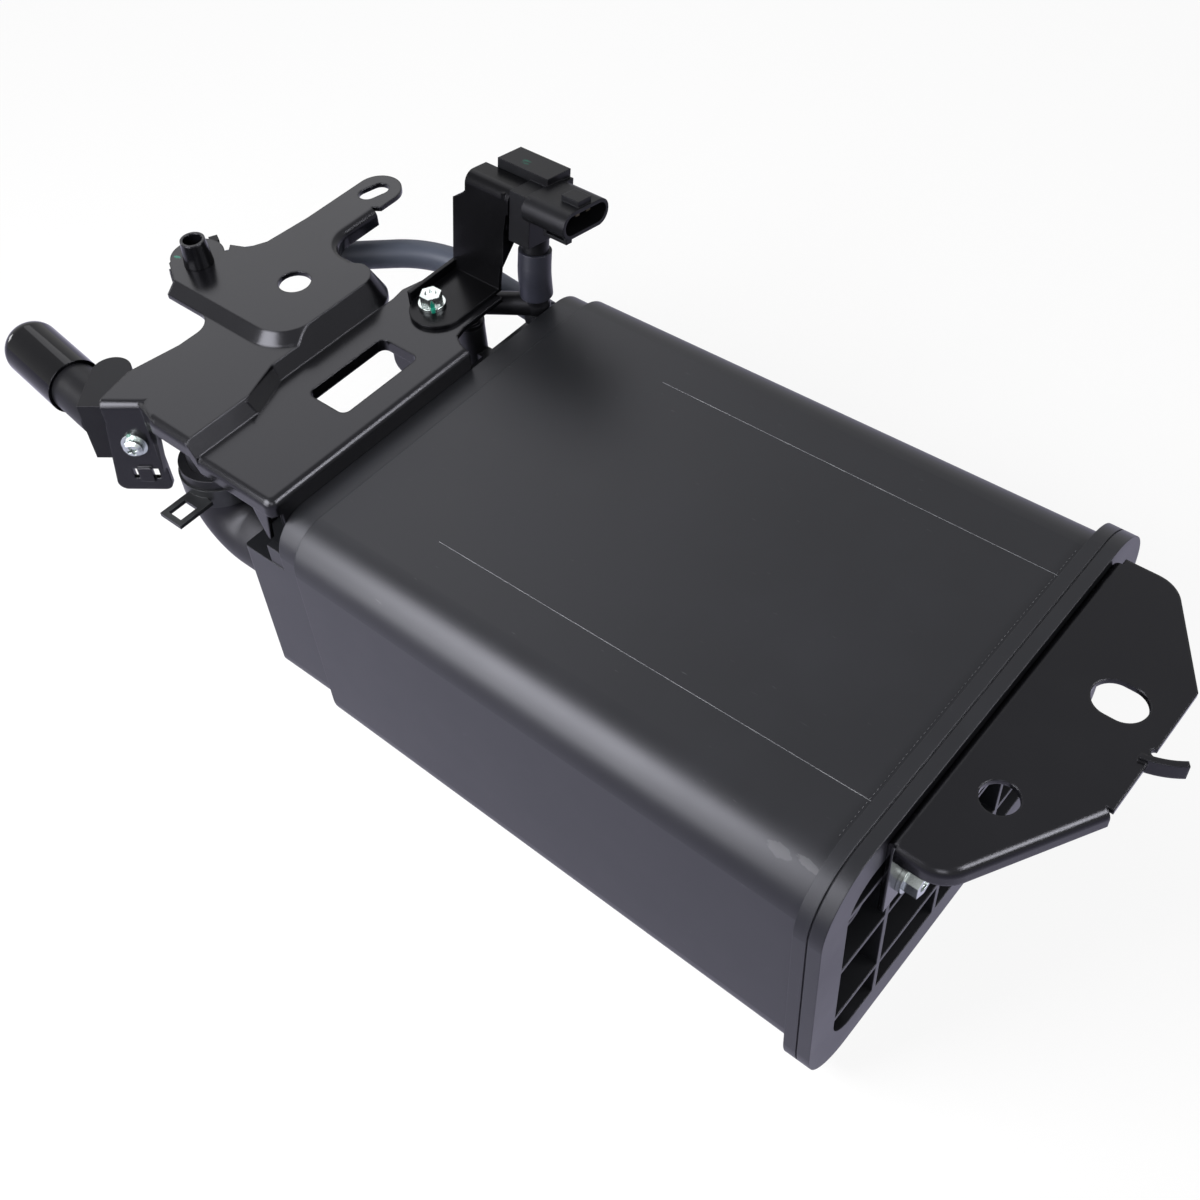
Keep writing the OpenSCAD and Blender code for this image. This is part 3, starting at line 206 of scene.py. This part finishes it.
@dataclass(frozen=True)
class Finish:
    """A real material and how its surface was made.

    Sizes of patterns are in millimetres; colours are sRGB hex values. What all finishes share stands last.
    """

    name: str
    surface: Surface
    colour: str
    worn: str
    roughness: float
    ior: float = 1.38
    metallic: float = 0.0
    grain_mm: float = 1.0
    grain_depth_mm: float = 0.02
    cloud_mm: float = 45.0
    cloud_rough: float = 0.03
    edge_mm: float = 0.5
    scuffs: float = 0.0
    sheen: float = 0.0
    tint: ClassVar[str] = "#f3f3ff"
    least_roughness: ClassVar[float] = 0.02
    cloud_detail: ClassVar[float] = 4.0
    cloud_mottle: ClassVar[float] = 0.6
    cloud_range: ClassVar[tuple[float, float]] = (0.3, 0.7)
    wear_range: ClassVar[tuple[float, float]] = (0.45, 0.8)
    grain_detail: ClassVar[float] = 2.0
    edge_samples: ClassVar[int] = 4
    scuff_colour: ClassVar[str] = "#8d8e92"
    scuff_turn: ClassVar[tuple[float, float, float]] = (0.2, 0.0, 1.1)
    scuff_per_m: ClassVar[tuple[float, float, float]] = (160.0, 1100.0, 1100.0)
    scuff_detail: ClassVar[float] = 3.0
    scuff_range: ClassVar[tuple[float, float]] = (0.72, 0.8)

    def build(self, marks: tuple[Mark, ...] = ()) -> bpy.types.Material:
        """Make the Blender material.

        Args:
            marks: dabs that lie on the surface.

        Returns:
            The material, with its pattern in the row frame's coordinates.
        """
        material = bpy.data.materials.new(self.name)
        material.use_nodes = True
        tree = material.node_tree
        tree.nodes.clear()
        place = (add_node(tree, "ShaderNodeTexCoord"), "Object")
        cloud = (add_node(tree, "ShaderNodeTexNoise", {
            "Vector": place, "Scale": 1 / (self.cloud_mm * MM),
            "Detail": self.cloud_detail, "Roughness": self.cloud_mottle}), "Fac")
        smooth = max(self.least_roughness, self.roughness - self.cloud_rough)
        rough = remap(tree, cloud, self.cloud_range, (smooth, self.roughness + self.cloud_rough))
        shade = self.shade(tree, place, cloud)
        metal: Any = self.metallic
        for mark in marks:
            cover = mark.cover(tree, place)
            shade = mix_colours(tree, cover, shade, linear(mark.colour))
            if self.metallic > 0.0:
                metal = add_math(tree, "MULTIPLY", metal, add_math(tree, "SUBTRACT", 1.0, cover))
        shader = add_node(tree, "ShaderNodeBsdfPrincipled", {
            "Base Color": shade, "Metallic": metal, "Roughness": rough,
            "Normal": self.relief(tree, place), "Sheen Weight": self.sheen})
        if self.metallic == 0.0:
            shader.inputs["IOR"].default_value = self.ior
            shader.inputs["Specular Tint"].default_value = linear(self.tint)
        add_node(tree, "ShaderNodeOutputMaterial", {"Surface": (shader, "BSDF")})
        return material

    def relief(self, tree: bpy.types.NodeTree, place: Link) -> Link:
        """Soften the edges and draw the grain: packed cells on loose fill, and noise on all else.

        Args:
            tree: the material's node tree.
            place: a link to the row frame's coordinates.

        Returns:
            A link to the normal.
        """
        kind = "ShaderNodeTexVoronoi" if self.surface is Surface.LOOSE else "ShaderNodeTexNoise"
        grain = add_node(tree, kind, {
            "Vector": place, "Scale": 1 / (self.grain_mm * MM), "Detail": self.grain_detail})
        soft = add_node(tree, "ShaderNodeBevel", {"Radius": self.edge_mm * MM}, samples=self.edge_samples)
        bump = add_node(tree, "ShaderNodeBump", {
            "Strength": 1.0, "Distance": self.grain_depth_mm * MM,
            "Height": (grain, 0), "Normal": (soft, "Normal")})
        return (bump, "Normal")

    def shade(self, tree: bpy.types.NodeTree, place: Link, cloud: Link) -> Link:
        """Mix the clean and the worn colour, with scuffs where the finish has them.

        Args:
            tree: the material's node tree.
            place: a link to the row frame's coordinates.
            cloud: a link to the broad noise that the wear follows.

        Returns:
            A link to the mixed colour.
        """
        wear = remap(tree, cloud, self.wear_range)
        mixed = mix_colours(tree, wear, linear(self.colour), linear(self.worn))
        if self.scuffs == 0.0:
            return mixed
        stretch = add_node(tree, "ShaderNodeMapping", {
            "Vector": place, "Rotation": self.scuff_turn, "Scale": self.scuff_per_m})
        streak = add_node(tree, "ShaderNodeTexNoise", {
            "Vector": (stretch, "Vector"), "Scale": 1.0, "Detail": self.scuff_detail})
        thin = remap(tree, (streak, "Fac"), self.scuff_range, (0.0, self.scuffs))
        return mix_colours(tree, thin, mixed, linear(self.scuff_colour))


# Glass-filled nylon, injection moulded: satin black with a fine even grain and faint handling marks.
SHELL_NYLON = Finish("moulded black nylon", Surface.MOULDED, "#0d0e10", "#121316", 0.41, 1.38, grain_mm=0.7,
                     grain_depth_mm=0.006, cloud_mm=70.0, scuffs=0.1)
# The same nylon on the cap, a little smoother where the tool was polished.
CAP_NYLON = Finish("moulded black nylon cap", Surface.MOULDED, "#0d0e10", "#131417", 0.38, 1.38, grain_mm=0.7,
                   grain_depth_mm=0.006, scuffs=0.1)
# Steel sheet, dip coated black: smooth satin with a slight orange peel and bright bends.
BRACKET_COAT = Finish("dip coated steel sheet", Surface.COATED, "#08080a", "#0c0c0e", 0.2, 1.33, grain_mm=2.4,
                      grain_depth_mm=0.006, edge_mm=1.0)
# The same coating on the thin sensor bracket, made duller and darker: painted shade that stands in for the
# dimmer surroundings the post reflects.
SHADED_POST_COAT = Finish("dip coated thin sheet with painted shade", Surface.COATED, "#060607", "#09090b", 0.24, 1.2, grain_mm=2.4,
                   grain_depth_mm=0.006, edge_mm=0.8)
# Steel, zinc plated: bright cool metal with a soft mottle.
ZINC = Finish("zinc plated steel", Surface.PLATED, "#b3b9b8", "#98a09f", 0.24, metallic=1.0, grain_mm=0.5,
              grain_depth_mm=0.008, cloud_mm=6.0, edge_mm=0.3)
# PBT, moulded with a fine spark texture: dull black with soft edges.
SENSOR_PBT = Finish("moulded black PBT", Surface.MOULDED, "#0b0b0d", "#101113", 0.38, 1.23, grain_mm=0.5,
                    grain_depth_mm=0.01, cloud_mm=15.0, edge_mm=0.6)
# EPDM rubber, extruded and cured: dull slate grey.
GREY_EPDM = Finish("extruded grey EPDM hose", Surface.EXTRUDED, "#3d424d", "#444955", 0.5, grain_mm=0.8,
                   grain_depth_mm=0.015, cloud_mm=25.0)
# EPDM rubber of the short sensor hose: darker than the long hose.
DARK_EPDM = Finish("extruded dark EPDM hose", Surface.EXTRUDED, "#191a22", "#20212b", 0.45, grain_mm=0.8,
                   grain_depth_mm=0.015, cloud_mm=25.0)
# EPDM rubber, moulded: dull black.
BLACK_EPDM = Finish("moulded black EPDM hose", Surface.MOULDED, "#08080a", "#0e0e10", 0.45, 1.34,
                    grain_mm=0.8, grain_depth_mm=0.015, cloud_mm=25.0)
# Vinyl, hot dipped: wet-looking black skin.
CAP_VINYL = Finish("dipped black vinyl", Surface.DIPPED, "#020203", "#040405", 0.06, 1.25, grain_mm=6.0,
                   grain_depth_mm=0.02, cloud_mm=20.0, cloud_rough=0.02)
# Spring steel, phosphated: dark grey with a dull metal glint.
SPRING_STEEL = Finish("phosphated spring steel", Surface.PLATED, "#2b2c2e", "#37383a", 0.42, metallic=0.8,
                      cloud_mm=8.0, edge_mm=0.2)
# Brass strip, stamped and tinned: dull warm grey metal.
BLADE_BRASS = Finish("stamped brass", Surface.PLATED, "#4f4a3e", "#454037", 0.4, metallic=1.0, cloud_mm=4.0,
                     edge_mm=0.1)
# Carbon pellets, packed: black and rough.
CARBON = Finish("packed carbon pellets", Surface.LOOSE, "#0d0d0d", "#171717", 0.85, grain_mm=2.2,
                grain_depth_mm=0.6)
# Polyester felt, needled: off-white and fibrous.
FELT = Finish("needled polyester felt", Surface.LOOSE, "#cfcabd", "#bdb7a8", 0.9, grain_mm=0.6,
              grain_depth_mm=0.2, sheen=0.3)
# Polypropylene, moulded: plain black inside parts.
INNER_PP = Finish("moulded black polypropylene", Surface.MOULDED, "#1a1a1b", "#222224", 0.5)
# Flash left where the tool halves met: a thin pale line of rubbed plastic.
PARTING_FLASH = Finish("rubbed nylon flash", Surface.MOULDED, "#4c4d50", "#77787b", 0.5, cloud_mm=9.0,
                       edge_mm=0.1)


def give_finish(finish: Finish, *names: str, marks: tuple[Mark, ...] = ()) -> None:
    """Give CAD nodes a finish.

    Args:
        finish: the material that the nodes get.
        names: the nodes.
        marks: dabs that lie on them.
    """
    material = finish.build(marks)
    for name in names:
        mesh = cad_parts[name].data
        if not mesh.materials:
            mesh.materials.append(material)
        for slot in range(len(mesh.materials)):
            mesh.materials[slot] = material
        LOG.info("%s: %s", name, finish.name)


def add_piece(name: str, mesh: bmesh.types.BMesh, finish: Finish) -> None:
    """Turn a finished bmesh into a piece that rides on the root body.

    Args:
        name: the piece's name.
        mesh: its shape, in metres in the row frame.
        finish: its material.
    """
    data = bpy.data.meshes.new(name)
    bmesh.ops.recalc_face_normals(mesh, faces=mesh.faces)
    mesh.to_mesh(data)
    mesh.free()
    data.materials.append(finish.build())
    piece = bpy.data.objects.new(name, data)
    bpy.context.scene.collection.objects.link(piece)
    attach(piece, "root")
    LOG.info("%s: %d faces", name, len(data.polygons))


@dataclass
class Canister:
    """The moulded shell, its cap and what they hold.

    The flash lies on the shell's top, which stands seam_top_mm high at the seam and falls away by the draft.
    """

    seam_top_mm: float = 112.6
    draft: float = 0.014
    parting_y_mm: float = 53.0
    parting_far_mm: tuple[float, float] = (-176.0, -165.0)
    parting_near_mm: float = -6.6
    bead_x_mm: float = -7.3
    bead_reach_mm: float = 68.0
    bead_l_mm: float = 0.8
    bead_pitch_mm: float = 1.9
    flash_w_mm: float = 0.45
    flash_h_mm: float = 0.12
    flash_sunk_mm: float = 0.2
    flash_crest: float = 0.3
    # Two faint pale dabs on the rounded left edge near the cap: rub marks, and also a painted highlight where
    # the edge's highlight band is brightest.
    edge_rubs_and_highlight: tuple[Mark, ...] = (
        Mark((-18.8, -80.0, 108.7), (4.6, 1.8, 2.4), -4.0, "#7c7c7e", 0.09),
        Mark((-9.4, -79.2, 109.4), (4.6, 1.2, 2.0), -10.0, "#7c7c7e", 0.14))

    def dress(self) -> None:
        """Give the shell, the cap and the inner pieces their finishes."""
        give_finish(SHELL_NYLON, "canister_body", marks=self.edge_rubs_and_highlight)
        give_finish(CAP_NYLON, "end_cap")
        give_finish(CARBON, "main_charcoal_bed", "second_charcoal_bed")
        give_finish(FELT, "far_filters", "near_filters")
        give_finish(INNER_PP, "support_grids", "pressure_plates")
        give_finish(SPRING_STEEL, "bed_springs")

    def build(self) -> None:
        """Lay the thin lines of flash where the tool halves met, and the dotted one along the flange."""
        mesh = bmesh.new()
        for side, far in zip((-1.0, 1.0), self.parting_far_mm):
            y = side * self.parting_y_mm
            self.flash(mesh, (far, y), (self.parting_near_mm, y))
        for i in range(int(2 * self.bead_reach_mm / self.bead_pitch_mm)):
            y = i * self.bead_pitch_mm - self.bead_reach_mm
            self.flash(mesh, (self.bead_x_mm, y), (self.bead_x_mm, y + self.bead_l_mm))
        add_piece("parting_lines", mesh, PARTING_FLASH)

    def flash(self, mesh: bmesh.types.BMesh, start: tuple[float, float], end: tuple[float, float]) -> None:
        """Add one line of flash on the shell's sloping top, wider at its foot than at its crest.

        Args:
            mesh: the mesh that takes it.
            start: where it begins, along and across the shell in millimetres.
            end: where it ends.
        """
        along = (Vector(end) - Vector(start)).normalized()
        across = Vector((-along.y, along.x, 0.0)) * self.flash_w_mm / 2
        profile = ((-1.0, -self.flash_sunk_mm), (1.0, -self.flash_sunk_mm),
                   (self.flash_crest, self.flash_h_mm), (-self.flash_crest, self.flash_h_mm))
        rings = []
        for x, y in (start, end):
            middle = Vector((x, y, self.seam_top_mm + self.draft * x))
            rings.append([mesh.verts.new((middle + across * share + Vector((0.0, 0.0, dz))) * MM)
                          for share, dz in profile])
        first, last = rings
        for i in range(len(profile)):
            j = (i + 1) % len(profile)
            mesh.faces.new((first[i], first[j], last[j], last[i]))
        mesh.faces.new(first[::-1])
        mesh.faces.new(last)


@dataclass
class Brackets:
    """The stamped brackets with their fasteners."""

    collar_paint: Mark = Mark((-349.0, -15.4, 127.0), (1.7, 0.8, 1.0), 20.0, "#0b5a49")
    hex_screw_paint: Mark = Mark((-252.5, 25.8, 120.2), (2.4, 1.1, 3.2), -40.0)
    cross_screw_paint: Mark = Mark((-304.1, -82.5, 108.8), (1.1, 1.6, 1.0), 36.0, "#0b5a49", 0.8)

    def dress(self) -> None:
        """Give the sheets their coating and the fasteners their plating and paint marks."""
        give_finish(BRACKET_COAT, "rear_bracket", "bracket_collar")
        # The sensor bracket gets the darker copy of the coat, which is painted shade.
        give_finish(SHADED_POST_COAT, "sensor_bracket")
        give_finish(BRACKET_COAT, "front_bracket", marks=(self.collar_paint,))
        give_finish(ZINC, "rear_bracket_bolts", "front_bracket_screws", "sensor_weld_nut")
        give_finish(ZINC, "sensor_bracket_screw", marks=(self.hex_screw_paint,))
        give_finish(ZINC, "vent_valve_screw", marks=(self.cross_screw_paint,))


@dataclass
class VapourFittings:
    """The sensor, the hoses, the vent block and its cap."""

    sensor_paint: Mark = Mark((-243.9, 75.2, 163.0), (5.4, 3.6, 3.0), colour="#0b4a3c")

    def dress(self) -> None:
        """Give each fitting its finish."""
        give_finish(SENSOR_PBT, "sensor_elbow", "vent_valve", "hose_joiner", "hose_clip")
        give_finish(SENSOR_PBT, "pressure_sensor", marks=(self.sensor_paint,))
        give_finish(BLADE_BRASS, "sensor_terminals")
        give_finish(GREY_EPDM, "vent_hose")
        give_finish(DARK_EPDM, "sensor_hose")
        give_finish(BLACK_EPDM, "air_hose")
        give_finish(CAP_VINYL, "dust_cap")
        give_finish(SPRING_STEEL, "vent_hose_clamps", "air_hose_clamp")


@dataclass(frozen=True)
class SoftBox:
    """A soft lamp: its place from the object's middle and its size in metres, and its power in watts.

    A catch light is a card that only shows in reflections.
    """

    name: str
    place_m: tuple[float, float, float]
    width_m: float
    height_m: float
    power_w: float
    catch_light: bool = False

    def build(self, middle: Vector) -> None:
        """Hang the lamp so that it faces the object.

        Args:
            middle: the object's middle.
        """
        light = bpy.data.lights.new(self.name, "AREA")
        light.shape = "RECTANGLE"
        light.size = self.width_m
        light.size_y = self.height_m
        light.energy = self.power_w
        lamp = bpy.data.objects.new(self.name, light)
        lamp.visible_camera = False
        lamp.visible_diffuse = not self.catch_light
        lamp.location = middle + Vector(self.place_m)
        lamp.rotation_euler = (middle - lamp.location).to_track_quat("-Z", "Y").to_euler()
        bpy.context.scene.collection.objects.link(lamp)


@dataclass
class Studio:
    """White floor, soft boxes and the camera of the photograph.

    The camera's turn is a rotation vector in radians, from the row frame to the picture's right, down and in.
    """

    eye_mm: tuple[float, float, float] = (101.9, -271.9, 481.4)
    turn: tuple[float, float, float] = (2.33, 0.81531, -0.37303)
    focal_px: float = 1532.71
    image_px: float = 1200.0
    sensor_mm: float = 36.0
    fill_light: float = 0.3
    floor_m: float = 6.0
    floor_paper: str = "#f4f4f4"
    floor_glow: float = 0.9
    floor_tint: str = "#e7e4ff"
    boxes: tuple[SoftBox, ...] = (
        SoftBox("left_strip", (-0.165, -0.39, 0.34), 0.36, 0.26, 5.4),
        SoftBox("edge_card", (-0.186, -0.526, 0.132), 0.36, 0.22, 2.6, catch_light=True),
        SoftBox("far_box", (-1.0, 0.61, 1.03), 0.8, 0.8, 3.3),
        SoftBox("near_box", (0.72, -0.89, 0.82), 0.4, 0.4, 5.0),
        SoftBox("right_card", (0.775, 0.23, 0.72), 0.75, 0.25, 18.0, catch_light=True),
        SoftBox("far_card", (-1.355, -0.364, 0.296), 0.3, 0.3, 3.5, catch_light=True))

    def build(self) -> None:
        """Set up the world, the floor, the lamps and the camera."""
        bpy.context.scene.view_settings.view_transform = "Standard"
        self.world()
        self.floor()
        self.lamps()
        self.camera()

    def seen(self, tree: bpy.types.NodeTree) -> Link:
        """Tell camera, glossy and transmission rays from the rest.

        Args:
            tree: the node tree that needs it.

        Returns:
            A link to a value that is one for those rays.
        """
        path = add_node(tree, "ShaderNodeLightPath")
        both = add_math(tree, "MAXIMUM", (path, "Is Camera Ray"), (path, "Is Glossy Ray"))
        return add_math(tree, "MAXIMUM", both, (path, "Is Transmission Ray"))

    def world(self) -> None:
        """Make a white surround that lights the object at a plain level."""
        world = bpy.data.worlds.new("white surround")
        world.use_nodes = True
        tree = world.node_tree
        tree.nodes.clear()
        fill = add_node(tree, "ShaderNodeBackground", {"Color": linear(WHITE), "Strength": self.fill_light})
        white = add_node(tree, "ShaderNodeBackground", {"Color": linear(WHITE), "Strength": 1.0})
        mix = add_node(tree, "ShaderNodeMixShader", {0: self.seen(tree), 1: (fill, 0), 2: (white, 0)})
        add_node(tree, "ShaderNodeOutputWorld", {"Surface": (mix, 0)})
        bpy.context.scene.world = world

    def floor(self) -> None:
        """Lay the floor that keeps the object's shadow."""
        mesh = bmesh.new()
        bmesh.ops.create_grid(mesh, x_segments=1, y_segments=1, size=self.floor_m)
        data = bpy.data.meshes.new("floor")
        mesh.to_mesh(data)
        mesh.free()
        data.materials.append(self.paper())
        floor = bpy.data.objects.new("floor", data)
        bpy.context.scene.collection.objects.link(floor)

    def paper(self) -> bpy.types.Material:
        """Make the floor's paper: nearly white to the camera, tinted in reflections, and plain to the light.

        Returns:
            The material.
        """
        material = bpy.data.materials.new("white paper floor")
        material.use_nodes = True
        tree = material.node_tree
        tree.nodes.clear()
        plain = add_node(tree, "ShaderNodeBsdfDiffuse", {"Color": linear(self.floor_paper)})
        glow = add_node(tree, "ShaderNodeEmission", {"Color": linear(WHITE), "Strength": 1.0})
        tinted = add_node(tree, "ShaderNodeEmission", {"Color": linear(self.floor_tint), "Strength": 1.0})
        path = add_node(tree, "ShaderNodeLightPath")
        bright = add_node(tree, "ShaderNodeMixShader", {
            0: (path, "Is Glossy Ray"), 1: (glow, 0), 2: (tinted, 0)})
        part = add_math(tree, "MULTIPLY", self.seen(tree), self.floor_glow)
        mix = add_node(tree, "ShaderNodeMixShader", {0: part, 1: (plain, 0), 2: (bright, 0)})
        add_node(tree, "ShaderNodeOutputMaterial", {"Surface": (mix, 0)})
        return material

    def lamps(self) -> None:
        """Hang the soft boxes, each aimed at the middle of the object."""
        low, high = CAD_BOX
        middle = (Vector(low) + Vector(high)) / 2
        for box in self.boxes:
            box.build(middle)

    def camera(self) -> None:
        """Put the camera where the photograph was taken from."""
        data = bpy.data.cameras.new("photo camera")
        data.sensor_width = self.sensor_mm
        data.lens = self.sensor_mm * self.focal_px / self.image_px
        turn = Vector(self.turn)
        rows = Matrix.Rotation(turn.length, 3, turn.normalized())
        axes = Matrix((rows[0], -rows[1], -rows[2])).transposed()
        camera = bpy.data.objects.new("photo camera", data)
        camera.matrix_world = Matrix.Translation(Vector(self.eye_mm) * MM) @ axes.to_4x4()
        bpy.context.scene.collection.objects.link(camera)
        bpy.context.scene.camera = camera


def main() -> None:
    """Build the sub-assemblies in order, then the studio."""
    logging.basicConfig(level=logging.INFO, format="%(name)s: %(message)s")
    canister = Canister()
    canister.dress()
    canister.build()
    Brackets().dress()
    VapourFittings().dress()
    Studio().build()


if __name__ == "__main__":
    main()
